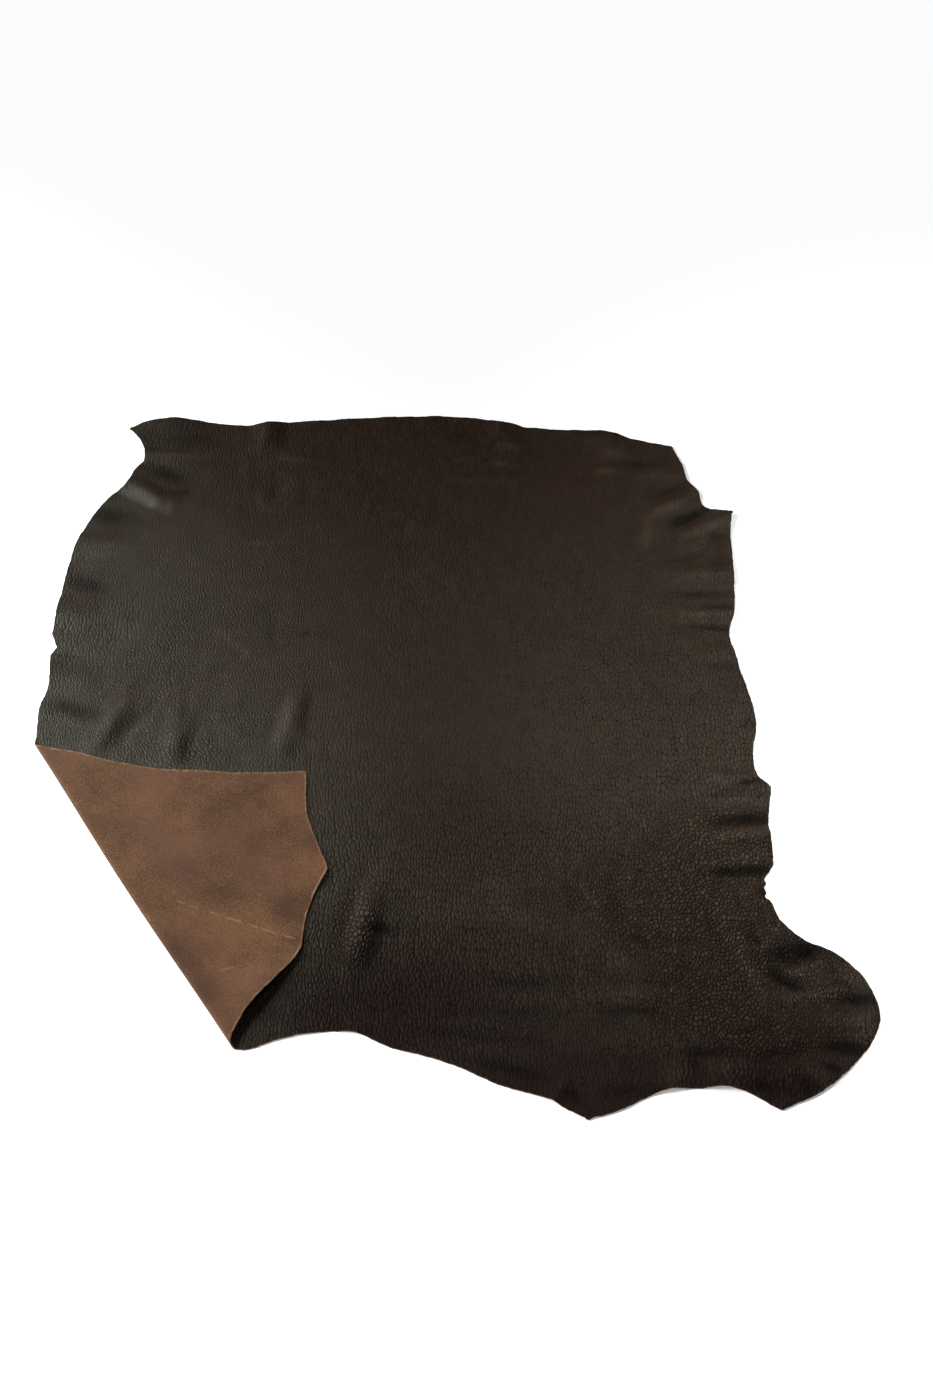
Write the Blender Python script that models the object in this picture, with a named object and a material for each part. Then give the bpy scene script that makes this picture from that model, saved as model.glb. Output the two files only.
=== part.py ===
# One whole small skin, tanned and dyed dark brown, lying grain side up on a flat surface.
# Its left hind-leg corner is turned over, so the flesh side shows there.
# +X runs across the skin, +Y along the backbone to the neck, +Z up.
# Sizes are in millimetres, and the mesh is scaled to metres as it is made.

import math
from collections import namedtuple

import bpy
from mathutils import Vector
from mathutils.geometry import delaunay_2d_cdt, interpolate_bezier

MM = 0.001

# The leather
THICKNESS = 1.4
GRAIN_COLOUR = (0.030, 0.021, 0.016, 1.0)
FLESH_COLOUR = (0.150, 0.080, 0.052, 1.0)
GRAIN_ROUGHNESS = 0.46
FLESH_ROUGHNESS = 0.95

# The turned-over corner. The fold runs in a straight line from one end to the other, but for a slight bow.
FOLD_TOP = Vector((-414.5, -42.0))
FOLD_BOTTOM = Vector((-178.5, -402.0))
FOLD_BOW = 2.5
BEND_RADIUS_TOP = 4.2
BEND_RADIUS_BOTTOM = 5.4
LAYER_GAP = 1.0
FLAP_SETTLES_IN = 95.0
BASE_CALM_BAND = 30.0

# How finely the sheet is divided. Rows of points run along the bend, and a lattice covers the rest.
EDGE_STEP = 9.0
BEND_EDGE_STEP = 2.2
CURVE_STEP = 1.5
BEND_BAND = 22.0
BEND_ROWS = 8
BEND_ROW_STEP = 12.0
ROWS_BESIDE_BEND = (5.0, 12.0)
COLUMNS_PAST_FOLD = 4
LATTICE_STEP = 12.0
WIDE_LATTICE = 2
RELIEF_MARGIN = 8.0
CLEAR_OF_EDGE = 0.6
MERGE_DISTANCE = 1e-4

# The cut edge, clockwise from the tip of the left foreleg, as the skin lies unfolded.
EdgePoint = namedtuple("EdgePoint", "x y turn")

NECK_EDGE = (
    EdgePoint(-374, 452, "corner"),
    EdgePoint(-358, 462, "round"),
    EdgePoint(-325, 467, "round"),
    EdgePoint(-285, 464, "round"),
    EdgePoint(-240, 457, "round"),
    EdgePoint(-190, 462, "round"),
    EdgePoint(-85, 471, "round"),
    EdgePoint(0, 474, "round"),
    EdgePoint(60, 467, "round"),
    EdgePoint(105, 454, "round"),
    EdgePoint(200, 445, "round"),
    EdgePoint(245, 430, "round"),
)
RIGHT_FORELEG = (
    EdgePoint(281, 420, "corner"),
    EdgePoint(291, 387, "round"),
    EdgePoint(296, 359, "round"),
    EdgePoint(306, 343, "round"),
    EdgePoint(311, 320, "round"),
    EdgePoint(326, 311, "round"),
    EdgePoint(343, 306, "corner"),
)
RIGHT_FLANK = (
    EdgePoint(339, 275, "round"),
    EdgePoint(337, 212, "round"),
    EdgePoint(332, 148, "round"),
    EdgePoint(324, 120, "round"),
    EdgePoint(328, 83, "round"),
    EdgePoint(337, 30, "round"),
    EdgePoint(341, -15, "round"),
    EdgePoint(335, -45, "round"),
    EdgePoint(335, -78, "round"),
    EdgePoint(348, -99, "corner"),
    EdgePoint(341, -145, "round"),
    EdgePoint(341, -192, "round"),
    EdgePoint(332, -208, "corner"),
    EdgePoint(329, -232, "corner"),
)
RIGHT_HIND_LEG = (
    EdgePoint(335, -241, "round"),
    EdgePoint(341, -260, "round"),
    EdgePoint(362, -283, "round"),
    EdgePoint(394, -304, "round"),
    EdgePoint(417, -333, "round"),
    EdgePoint(424, -370, "round"),
    EdgePoint(407, -404, "round"),
    EdgePoint(366, -444, "round"),
    EdgePoint(321, -467, "corner"),
)
TAIL_EDGE = (
    EdgePoint(293, -449, "round"),
    EdgePoint(268, -444, "round"),
    EdgePoint(213, -448, "round"),
    EdgePoint(173, -467, "round"),
    EdgePoint(144, -476, "corner"),
    EdgePoint(104, -454, "round"),
    EdgePoint(60, -439, "round"),
    EdgePoint(17, -418, "round"),
    EdgePoint(-41, -400, "round"),
    EdgePoint(-70, -386, "round"),
    EdgePoint(-105, -385, "round"),
    EdgePoint(-143, -393, "round"),
    EdgePoint(-173, -404, "round"),
)
LEFT_HIND_LEG = (
    EdgePoint(-192, -402, "round"),
    EdgePoint(-225, -401, "round"),
    EdgePoint(-265, -409, "round"),
    EdgePoint(-309, -416, "round"),
    EdgePoint(-345, -405, "round"),
    EdgePoint(-380, -400, "round"),
    EdgePoint(-408, -400, "corner"),
    EdgePoint(-432, -378, "round"),
    EdgePoint(-462, -351, "round"),
    EdgePoint(-511, -325, "corner"),
    EdgePoint(-478, -255, "round"),
    EdgePoint(-450, -180, "round"),
    EdgePoint(-436, -128, "round"),
    EdgePoint(-431, -98, "round"),
    EdgePoint(-423, -62, "round"),
)
LEFT_FLANK = (
    EdgePoint(-421, -30, "round"),
    EdgePoint(-423, 12, "round"),
    EdgePoint(-417, 40, "round"),
    EdgePoint(-421, 84, "round"),
    EdgePoint(-416, 98, "corner"),
    EdgePoint(-424, 117, "corner"),
    EdgePoint(-422, 175, "round"),
    EdgePoint(-417, 240, "round"),
    EdgePoint(-403, 299, "round"),
    EdgePoint(-384, 335, "round"),
    EdgePoint(-368, 355, "round"),
    EdgePoint(-363, 377, "round"),
    EdgePoint(-352, 398, "round"),
    EdgePoint(-358, 427, "round"),
)
EDGE = NECK_EDGE + RIGHT_FORELEG + RIGHT_FLANK + RIGHT_HIND_LEG + TAIL_EDGE + LEFT_HIND_LEG + LEFT_FLANK

# Where the leather stands off the surface: a soft ridge about (x, y), its length along the heading, which is
# in degrees from +X. A ridge centred on the cut edge is highest there and dies out inwards.
Ridge = namedtuple("Ridge", "name x y heading length width height")

BASE_RIDGES = (
    Ridge("neck left", -325, 466, 90, 110, 100, 5.0),
    Ridge("neck crest left", -207, 468, 88, 170, 36, 7.0),
    Ridge("neck crest middle", 84, 466, 91, 220, 44, 5.0),
    Ridge("neck crest right", 202, 449, 92, 160, 50, 5.0),
    Ridge("cheek", 268, 374, -8, 80, 30, 3.0),
    Ridge("foreleg upper", 273, 312, 52, 130, 32, 8.0),
    Ridge("foreleg lower", 322, 290, 36, 120, 36, 8.0),
    Ridge("flank first", 336, 208, 2, 200, 36, 5.0),
    Ridge("flank second", 332, 150, 3, 180, 26, 5.0),
    Ridge("flank third", 326, 85, -2, 170, 46, 4.0),
    Ridge("flank fourth", 340, 15, 0, 150, 64, 4.0),
    Ridge("flank fifth", 346, -97, 8, 130, 28, 6.0),
    Ridge("flank sixth", 342, -163, 2, 150, 46, 7.0),
    Ridge("thigh", 270, -250, -66, 270, 54, 3.0),
    Ridge("hock edge", 394, -304, -38, 100, 34, 6.0),
    Ridge("hock upper", 384, -333, 8, 110, 28, 6.0),
    Ridge("hock lower", 396, -378, 0, 120, 42, 5.0),
    Ridge("hock end", 362, -432, 42, 90, 44, 5.0),
    Ridge("tail right", 272, -438, 86, 90, 52, 5.0),
    Ridge("tail middle", 224, -438, 80, 90, 40, 5.0),
    Ridge("tail left", 113, -452, 65, 80, 22, 4.0),
    Ridge("belly", -72, -258, 74, 130, 44, 8.0),
    Ridge("rib", -158, -4, 82, 110, 36, 6.0),
    Ridge("shoulder", -345, 341, -30, 110, 36, 8.0),
    Ridge("shoulder band", -345, 404, 0, 110, 28, 5.0),
    Ridge("left flank first", -406, 255, 2, 130, 52, 5.0),
    Ridge("left flank second", -424, 150, 0, 120, 60, 4.0),
    Ridge("left flank third", -418, 55, -4, 130, 50, 4.0),
    Ridge("elbow", -340, 0, 73, 120, 28, 7.0),
    Ridge("elbow inner", -268, -28, 82, 100, 34, 3.0),
)
FLAP_RIDGES = (
    Ridge("flap tip", -98, -205, 20, 80, 70, 2.5),
    Ridge("flap lower edge", -140, -330, 50, 150, 60, 3.0),
    Ridge("flap top", -240, -72, 80, 90, 60, 2.0),
)


def ease(value):
    """0 to 1 with level ends."""
    value = min(max(value, 0.0), 1.0)
    return value * value * (3.0 - 2.0 * value)


def ridge_height(ridge, x, y):
    heading = math.radians(ridge.heading)
    along = (x - ridge.x) * math.cos(heading) + (y - ridge.y) * math.sin(heading)
    across = (y - ridge.y) * math.cos(heading) - (x - ridge.x) * math.sin(heading)
    along /= ridge.length / 2
    across /= ridge.width / 2
    if abs(along) >= 1 or abs(across) >= 1:
        return 0.0
    return ridge.height * (1 - along**2) ** 2 * (1 - across**2) ** 2


def relief(ridges, x, y):
    """Ridges that cross blend as a root sum of squares, so none piles up on another."""
    return math.sqrt(sum(ridge_height(ridge, x, y) ** 2 for ridge in ridges))


FOLD_LENGTH = (FOLD_BOTTOM - FOLD_TOP).length
FOLD_ALONG = (FOLD_BOTTOM - FOLD_TOP).normalized()
FOLD_OUTWARD = Vector((FOLD_ALONG.y, -FOLD_ALONG.x))


def fold_shape(along):
    """How far out the bend starts, and its radius, at this distance down the fold."""
    share = min(max(along / FOLD_LENGTH, 0.0), 1.0)
    start = FOLD_BOW * math.sin(math.pi * share) ** 2
    radius = BEND_RADIUS_TOP + (BEND_RADIUS_BOTTOM - BEND_RADIUS_TOP) * share
    return start, radius


def to_fold(x, y):
    """(distance down the fold, distance past the start of the bend) of a point of the unfolded skin."""
    offset = Vector((x, y)) - FOLD_TOP
    along = offset.dot(FOLD_ALONG)
    return along, offset.dot(FOLD_OUTWARD) - fold_shape(along)[0]


def from_fold(along, past):
    return FOLD_TOP + FOLD_ALONG * along + FOLD_OUTWARD * (past + fold_shape(along)[0])


def base_height(x, y):
    """The middle of the lower layer. It lies level beside the bend."""
    past = to_fold(x, y)[1]
    return THICKNESS / 2 + relief(BASE_RIDGES, x, y) * ease(-past / BASE_CALM_BAND)


def lay(x, y):
    """Where the middle of the sheet at (x, y) of the unfolded skin lies."""
    along, past = to_fold(x, y)
    if past <= 0:
        return Vector((x, y, base_height(x, y)))
    radius = fold_shape(along)[1]
    turn = past / radius
    if turn < math.pi:
        place = from_fold(along, radius * math.sin(turn))
        return Vector((place.x, place.y, THICKNESS / 2 + radius * (1 - math.cos(turn))))
    back = past - math.pi * radius
    place = from_fold(along, -back)
    drop = (2 * radius - THICKNESS - LAYER_GAP) * ease(back / FLAP_SETTLES_IN)
    own = relief(FLAP_RIDGES, place.x, place.y) * ease(back / BASE_CALM_BAND)
    return Vector((place.x, place.y, base_height(place.x, place.y) + 2 * radius - drop + own))


def near_bend(x, y):
    past = to_fold(x, y)[1]
    return -BEND_BAND < past < math.pi * BEND_RADIUS_BOTTOM + BEND_BAND


def bezier_handles(points, index):
    """The two handles at a point of a smooth run, a third of the way to each neighbour."""
    here = Vector((points[index].x, points[index].y))
    before = points[index - 1]
    after = points[(index + 1) % len(points)]
    before = Vector((before.x, before.y))
    after = Vector((after.x, after.y))
    to_before = (before - here) / 3
    to_after = (after - here) / 3
    if points[index].turn == "corner":
        return here + to_before, here + to_after
    tangent = (after - before).normalized()
    return here - tangent * to_before.length, here + tangent * to_after.length


def cut_edge():
    """The outline as a closed run of points, closer together where it passes through the bend."""
    kept = []
    for index, point in enumerate(EDGE):
        start = Vector((point.x, point.y))
        following = (index + 1) % len(EDGE)
        end = Vector((EDGE[following].x, EDGE[following].y))
        leave = bezier_handles(EDGE, index)[1]
        arrive = bezier_handles(EDGE, following)[0]
        count = max(2, round((end - start).length / CURVE_STEP))
        walk = interpolate_bezier(start, leave, arrive, end, count + 1)
        kept.append(start)
        for place in walk[1:-1]:
            step = BEND_EDGE_STEP if near_bend(place.x, place.y) else EDGE_STEP
            if (place - kept[-1]).length >= step and (place - end).length >= step / 2:
                kept.append(place.copy())
    return kept


def bend_rows():
    """Rows of points along the bend, and a few beside it, so that it rolls evenly."""
    rows = []
    count = math.ceil(FOLD_LENGTH / BEND_ROW_STEP) + COLUMNS_PAST_FOLD
    for column in range(-COLUMNS_PAST_FOLD, count):
        along = column * BEND_ROW_STEP
        arc = math.pi * fold_shape(along)[1]
        for row in range(BEND_ROWS + 1):
            rows.append(from_fold(along, arc * row / BEND_ROWS))
        for beside in ROWS_BESIDE_BEND:
            rows.append(from_fold(along, -beside))
            rows.append(from_fold(along, arc + beside))
    return rows


def is_uneven(x, y):
    """Whether the sheet has relief at this point or close beside it."""
    for dx in (-RELIEF_MARGIN, 0.0, RELIEF_MARGIN):
        for dy in (-RELIEF_MARGIN, 0.0, RELIEF_MARGIN):
            if relief(BASE_RIDGES, x + dx, y + dy) > 0:
                return True
    return False


def lattice(left, right, bottom, top):
    """A triangular lattice, close where the leather is uneven and wider apart where it lies flat."""
    points = []
    row_step = LATTICE_STEP * math.sqrt(3) / 2
    for row in range(math.floor(bottom / row_step), math.ceil(top / row_step)):
        shift = 0.5 * (row % 2)
        for column in range(math.floor(left / LATTICE_STEP), math.ceil(right / LATTICE_STEP)):
            x = (column + shift) * LATTICE_STEP
            y = row * row_step
            is_wide = row % WIDE_LATTICE == 0 and (column + row // WIDE_LATTICE) % WIDE_LATTICE == 0
            if not near_bend(x, y) and (is_wide or is_uneven(x, y)):
                points.append(Vector((x, y)))
    return points


def is_inside(point, edge):
    """Counts how often a line to the right of the point crosses the outline."""
    inside = False
    for index, end in enumerate(edge):
        start = edge[index - 1]
        if (start.y > point.y) == (end.y > point.y):
            continue
        crossing = start.x + (point.y - start.y) / (end.y - start.y) * (end.x - start.x)
        if crossing > point.x:
            inside = not inside
    return inside


def clear_of(point, edge, distance):
    return all((point - other).length > distance for other in edge)


def cut_sheet():
    """The unfolded skin as flat triangles: (points, faces)."""
    edge = cut_edge()
    xs = [point.x for point in edge]
    ys = [point.y for point in edge]
    inner = []
    for point in lattice(min(xs), max(xs), min(ys), max(ys)):
        if is_inside(point, edge) and clear_of(point, edge, EDGE_STEP * CLEAR_OF_EDGE):
            inner.append(point)
    for point in bend_rows():
        if is_inside(point, edge) and clear_of(point, edge, BEND_EDGE_STEP * CLEAR_OF_EDGE):
            inner.append(point)
    border = [list(range(len(edge)))]
    points, _, faces, _, _, _ = delaunay_2d_cdt(edge + inner, [], border, 1, MERGE_DISTANCE)
    return points, faces


def leather(name, colour, roughness):
    material = bpy.data.materials.new(name)
    material.use_nodes = True
    shader = material.node_tree.nodes["Principled BSDF"]
    shader.inputs["Base Color"].default_value = colour
    shader.inputs["Roughness"].default_value = roughness
    shader.inputs["Metallic"].default_value = 0.0
    return material


def make_hide():
    points, faces = cut_sheet()
    mesh = bpy.data.meshes.new("leather_hide")
    mesh.from_pydata([lay(point.x, point.y) * MM for point in points], [], faces)
    mesh.materials.append(leather("leather_grain_side", GRAIN_COLOUR, GRAIN_ROUGHNESS))
    mesh.materials.append(leather("leather_flesh_side", FLESH_COLOUR, FLESH_ROUGHNESS))
    mesh.shade_smooth()
    hide = bpy.data.objects.new("leather_hide", mesh)
    bpy.context.scene.collection.objects.link(hide)
    solidify = hide.modifiers.new("Thickness", "SOLIDIFY")
    solidify.thickness = THICKNESS * MM
    solidify.offset = 0.0
    solidify.use_even_offset = True
    solidify.material_offset = 1
    solidify.material_offset_rim = 1
    return hide


def stand_on_origin(hide):
    """Moves the skin so that the origin lies under the middle of its box, on the surface it rests on."""
    bpy.context.view_layer.update()
    corners = hide.evaluated_get(bpy.context.evaluated_depsgraph_get()).bound_box
    low = Vector([min(corner[axis] for corner in corners) for axis in range(3)])
    high = Vector([max(corner[axis] for corner in corners) for axis in range(3)])
    hide.location = (-(low.x + high.x) / 2, -(low.y + high.y) / 2, -low.z)


def main():
    for thing in list(bpy.data.objects):
        bpy.data.objects.remove(thing)
    stand_on_origin(make_hide())


main()
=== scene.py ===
# A whole small leather skin on a pale studio floor, grain side up, one hind-leg corner turned over.
# Run it in Blender 4.5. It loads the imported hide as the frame, and lays a finer skin in its place.

import math

import bpy
import numpy as np
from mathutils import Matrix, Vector, kdtree
from mathutils.geometry import delaunay_2d_cdt, interpolate_bezier


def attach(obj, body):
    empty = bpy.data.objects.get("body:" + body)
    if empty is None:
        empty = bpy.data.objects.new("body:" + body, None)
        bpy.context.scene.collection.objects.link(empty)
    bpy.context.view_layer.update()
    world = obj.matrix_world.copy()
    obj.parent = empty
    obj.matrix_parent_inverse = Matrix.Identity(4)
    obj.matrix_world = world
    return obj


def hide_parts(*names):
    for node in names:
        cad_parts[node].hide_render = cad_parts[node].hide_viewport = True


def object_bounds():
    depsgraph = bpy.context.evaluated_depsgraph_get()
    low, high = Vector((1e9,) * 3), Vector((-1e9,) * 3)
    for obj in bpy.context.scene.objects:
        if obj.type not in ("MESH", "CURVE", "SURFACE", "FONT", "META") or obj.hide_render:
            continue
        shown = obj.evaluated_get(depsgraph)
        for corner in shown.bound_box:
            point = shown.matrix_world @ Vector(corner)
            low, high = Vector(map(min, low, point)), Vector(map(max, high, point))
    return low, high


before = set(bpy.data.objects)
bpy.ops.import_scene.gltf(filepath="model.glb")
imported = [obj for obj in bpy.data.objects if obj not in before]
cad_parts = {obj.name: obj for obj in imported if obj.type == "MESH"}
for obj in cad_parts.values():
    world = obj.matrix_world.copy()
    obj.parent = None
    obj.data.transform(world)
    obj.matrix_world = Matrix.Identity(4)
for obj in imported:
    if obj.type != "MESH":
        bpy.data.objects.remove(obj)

cadLow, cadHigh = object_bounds()
print("frame loaded:", [round(high - low, 4) for low, high in zip(cadLow, cadHigh)])

mm = 0.001

# The skin. Lengths are in millimetres.
hide = {
    "thickness": 1.4,
    "foldTop": (-414.5, -42.0),  # the corner is turned over along the line between these two
    "foldBottom": (-178.5, -402.0),
    "foldBow": 2.5,
    "bendRadiusTop": 4.2,
    "bendRadiusBottom": 5.4,
    "layerGap": 1.0,
    "flapSettlesIn": 95.0,  # how far from the bend the corner comes down onto the layer below
    "calmBesideFold": 30.0,
    "edgeStep": 2.0,
    "edgeStepInBend": 1.1,
    "edgeWalk": 0.4,
    "edgeClear": 1.3,
    "edgeWobble": 0.28,
    "wobbleLengths": (7, 11, 17, 26, 41, 63),
    "edgeBulge": 0.22,
    "bulgeRise": 0.45,
    "bendBand": 16.0,
    "bendRows": 14,
    "bendRowStep": 3.2,
    "rowsPastFold": (4, 6),  # rows of points beyond the ends of the fold line
    "besideBend": (2.0, 4.5, 8.0, 12.0),  # rows of points on each side of the bend
    "grainLattice": 3.9,
    "fleshLattice": 9.0,
    "flapLattice": 4.5,
    "nearEdge": 12.0,  # the grain side's lattice is finer within this of the cut
    "waveHeight": 0.55,
    "ruffleHeight": 1.3,
    "ruffleWidth": 26.0,
    "streakHeight": 2.3,
    "creaseDeepest": 0.95,  # deeper ones would reach the flesh side
    "probe": 0.3,  # slopes are read this far to each side
    "sharpAngle": 48,
    "seed": 11,
}
halfThick = hide["thickness"] / 2

# The cut edge as the skin lies unfolded, clockwise from the tip of the left foreleg: x, y, and the word corner
# where it turns sharply.
neckEdge = [
    (-374, 452, "corner"), (-358, 462), (-325, 467), (-285, 464), (-240, 457), (-190, 462), (-85, 471),
    (0, 474), (60, 467), (105, 454), (200, 445), (245, 430),
]
rightForeleg = [
    (281, 420, "corner"), (291, 387), (296, 359), (306, 343), (311, 320), (326, 311), (343, 306, "corner"),
]
rightFlank = [
    (339, 275), (337, 212), (332, 148), (324, 120), (328, 83), (337, 30), (341, -15), (335, -45), (335, -78),
    (348, -99, "corner"), (341, -145), (341, -192), (332, -208, "corner"), (329, -232, "corner"),
]
rightHindLeg = [
    (335, -241), (341, -260), (362, -283), (394, -304), (417, -333), (424, -370), (407, -404), (366, -444),
    (321, -467, "corner"),
]
tailEdge = [
    (293, -449), (268, -444), (213, -448), (173, -467), (144, -476, "corner"), (104, -454), (60, -439),
    (17, -418), (-41, -400), (-70, -386), (-105, -385), (-143, -393), (-173, -404),
]
leftHindLeg = [
    (-192, -402), (-225, -401), (-265, -409), (-309, -416), (-345, -405), (-380, -400),
    (-408, -400, "corner"), (-432, -378), (-462, -351), (-511, -325, "corner"), (-478, -255), (-450, -180),
    (-436, -128), (-431, -98), (-423, -62),
]
leftFlank = [
    (-421, -30), (-423, 12), (-417, 40), (-421, 84), (-416, 98, "corner"), (-424, 117, "corner"), (-422, 175),
    (-417, 240), (-403, 299), (-384, 335), (-368, 355), (-363, 377), (-352, 398), (-358, 427),
]
wholeEdge = neckEdge + rightForeleg + rightFlank + rightHindLeg + tailEdge + leftHindLeg + leftFlank

# Small tears and frays in the cut edge: x, y, how wide, how deep. A negative depth is a shred that sticks out.
edgeNicks = [
    (331, -212, 3.0, 1.6), (330, -217, 2.4, -1.4), (331, -222, 2.6, 1.5), (329, -228, 2.4, -1.6),
    (331, -234, 3.0, 1.2), (343, 306, 3.0, -1.6), (321, 313, 5.0, 1.0), (-420, 101, 4.0, -1.0),
    (-374, 452, 3.0, -1.5), (-352, 394, 5.0, 1.0), (393, -417, 3.0, 1.0), (386, -424, 2.5, -0.8),
    (380, -430, 3.0, 0.9), (144, -476, 3.0, -1.2), (152, -474, 3.0, 0.8), (-178, -404, 4.0, 0.8),
]

# Where the skin stands off the floor: x, y, heading, length, width, height.
# The heading is in degrees from +X. A ridge on the cut edge is highest there and dies out inwards.
baseRidges = {
    "neckLeft": (-325, 466, 90, 110, 100, 4.0),
    "neckCrestLeft": (-207, 468, 88, 150, 50, 3.6),
    "neckCrestMiddle": (84, 466, 91, 180, 56, 3.2),
    "neckCrestRight": (202, 449, 92, 150, 60, 3.4),
    "cheek": (268, 374, -8, 80, 40, 2.8),
    "forelegUpper": (273, 312, 52, 130, 44, 5.0),
    "forelegLower": (322, 290, 36, 120, 44, 5.0),
    "flankFirst": (336, 208, 2, 190, 40, 4.0),
    "flankSecond": (332, 150, 3, 170, 30, 3.6),
    "flankThird": (326, 85, -2, 170, 46, 3.4),
    "flankFourth": (340, 15, 0, 150, 64, 3.4),
    "flankFifth": (346, -97, 8, 130, 32, 4.6),
    "flankSixth": (342, -163, 2, 150, 46, 6.4),
    "thigh": (268, -250, -66, 290, 70, 3.2),
    "hockEdge": (394, -304, -38, 100, 44, 3.4),
    "hockUpper": (384, -333, 8, 120, 36, 3.0),
    "hockLower": (396, -378, 0, 130, 50, 3.2),
    "hockEnd": (362, -432, 42, 90, 44, 3.8),
    "tailRight": (272, -438, 86, 90, 52, 4.2),
    "tailMiddle": (224, -438, 80, 90, 40, 3.8),
    "tailLeft": (113, -452, 65, 80, 26, 3.2),
    "belly": (-66, -262, 74, 150, 40, 5.2),
    "rib": (-151, -4, 82, 130, 40, 3.4),
    "shoulder": (-345, 341, -30, 118, 40, 4.6),
    "shoulderBand": (-345, 404, 0, 120, 34, 3.0),
    "leftFlankFirst": (-406, 255, 2, 130, 52, 4.2),
    "leftFlankSecond": (-424, 150, 0, 120, 60, 3.6),
    "leftFlankThird": (-418, 55, -4, 130, 50, 3.6),
    "elbow": (-343, 0, 69, 136, 38, 3.4),
    "elbowInner": (-272, -28, 82, 110, 44, 2.4),
}
flapRidges = {
    "flapTip": (-98, -205, 20, 80, 70, 2.5),
    "flapLowerEdge": (-155, -340, 50, 150, 70, 5.5),
    "flapTop": (-240, -72, 80, 90, 60, 2.0),
}

# Streaks in the grain side, where small folds rise or sink, each also painted lighter or darker in colour and
# sheen: painted highlights and painted shade along the folds.
# x, y, heading, length, width, and how much lighter (above 0) or darker each is.
neckStreaks = [  # along the neck
    (-310, 432, -8, 132, 32, -0.18), (-315, 404, -3, 132, 14, 0.28), (-212, 430, 84, 72, 14, 0.28),
    (-231, 383, 60, 38, 18, 0.18), (-190, 435, 88, 62, 35, -0.12), (-222, 390, 0, 14, 18, -0.14),
    (-172, 398, -8, 55, 14, 0.35), (-196, 345, 90, 50, 18, -0.14), (-158, 345, 90, 50, 18, -0.13),
    (-178, 340, 90, 74, 21, 0.2), (-207, 325, -60, 46, 21, 0.19), (85, 420, -15, 36, 18, 0.4),
    (70, 430, 65, 60, 12, -0.18), (75, 390, 10, 34, 15, 0.3), (58, 398, 0, 14, 15, -0.25),
    (40, 398, 0, 48, 15, 0.15), (45, 360, -5, 110, 18, 0.12), (90, 354, 0, 22, 15, 0.18),
    (85, 375, 0, 29, 18, -0.15), (30, 440, 0, 48, 12, -0.2), (80, 455, 70, 26, 15, -0.25),
    (95, 448, -45, 26, 12, 0.25), (209, 407, 0, 43, 26, 0.38), (200, 377, 0, 46, 18, 0.38),
    (235, 388, 0, 62, 26, -0.18), (190, 440, -5, 74, 12, -0.18), (222, 439, -12, 46, 9, -0.35),
    (262, 369, 3, 62, 14, 0.2), (270, 342, 25, 74, 18, -0.2),
]
leftStreaks = [  # the left flank, down to the turned corner
    (-322, 372, -25, 98, 37, -0.35), (-300, 343, 0, 31, 21, -0.31), (-348, 342, -42, 86, 32, 0.3),
    (-330, 322, 0, 26, 21, 0.28), (-312, 318, 80, 38, 15, 0.25), (-370, 350, -10, 26, 9, -0.38),
    (-375, 300, -15, 86, 49, -0.35), (-365, 253, -8, 74, 18, 0.12), (-400, 225, 0, 50, 18, 0.1),
    (-395, 193, -20, 82, 37, -0.33), (-398, 84, -10, 62, 12, -0.18), (-385, 10, -20, 90, 32, -0.36),
    (-328, -17, 58, 134, 24, -0.3), (-338, 0, 60, 120, 21, 0.22), (-312, -18, 60, 62, 15, 0.15),
    (-263, -45, 88, 60, 20, -0.34), (-268, 2, 85, 62, 11, -0.18), (-278, -38, 85, 50, 21, 0.18),
    (-158, -8, 78, 118, 22, 0.28), (-138, 5, 85, 77, 18, -0.2), (-150, -46, 85, 36, 18, -0.18),
    (-216, 98, -45, 110, 18, 0.19), (-240, 80, 0, 50, 12, 0.11), (-182, 112, 90, 46, 15, -0.18),
    (-145, 118, 0, 19, 18, -0.19), (-165, 150, 20, 38, 12, 0.14), (-205, 258, -4, 86, 15, 0.14),
    (-150, 245, 80, 38, 15, 0.16), (-225, 45, 80, 72, 12, 0.1), (-205, 20, 84, 60, 11, -0.1),
]
rightStreaks = [  # the right foreleg and flank
    (262, 308, 30, 94, 23, 0.53), (241, 269, 80, 50, 18, 0.38), (290, 298, 30, 79, 23, -0.56),
    (308, 279, 27, 74, 21, 0.38), (300, 326, 30, 34, 8, -0.31), (322, 266, 20, 38, 18, -0.38),
    (298, 262, 12, 38, 9, -0.22), (278, 230, 12, 82, 15, -0.2), (322, 235, 80, 62, 18, -0.19),
    (285, 207, 3, 98, 26, 0.16), (297, 177, 0, 101, 19, -0.28), (318, 155, -8, 55, 11, -0.28),
    (285, 147, -3, 110, 15, 0.19), (300, 127, -4, 110, 12, -0.28), (312, 123, -4, 53, 12, -0.19),
    (310, 68, -5, 74, 18, -0.19), (290, 50, 0, 41, 23, 0.09), (335, -12, 5, 38, 18, -0.25),
    (305, -75, -8, 43, 12, -0.28), (326, -90, 3, 38, 12, -0.53), (300, -87, 3, 43, 12, 0.2),
    (305, -104, 8, 74, 12, -0.21), (318, -115, 4, 50, 15, 0.14), (315, -138, 3, 96, 26, -0.53),
    (310, -158, 5, 86, 18, 0.4), (315, -168, 5, 55, 9, -0.19), (320, -183, 5, 55, 14, 0.21),
    (308, -202, 2, 110, 21, -0.62), (310, -225, 80, 38, 21, 0.24), (328, -229, 90, 19, 12, -0.38),
    (265, -150, -70, 70, 12, 0.19), (218, -150, -70, 50, 9, 0.12), (252, -33, 92, 62, 11, -0.14),
    (270, -35, 90, 62, 9, -0.11), (260, -20, 88, 65, 14, 0.1),
]
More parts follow.
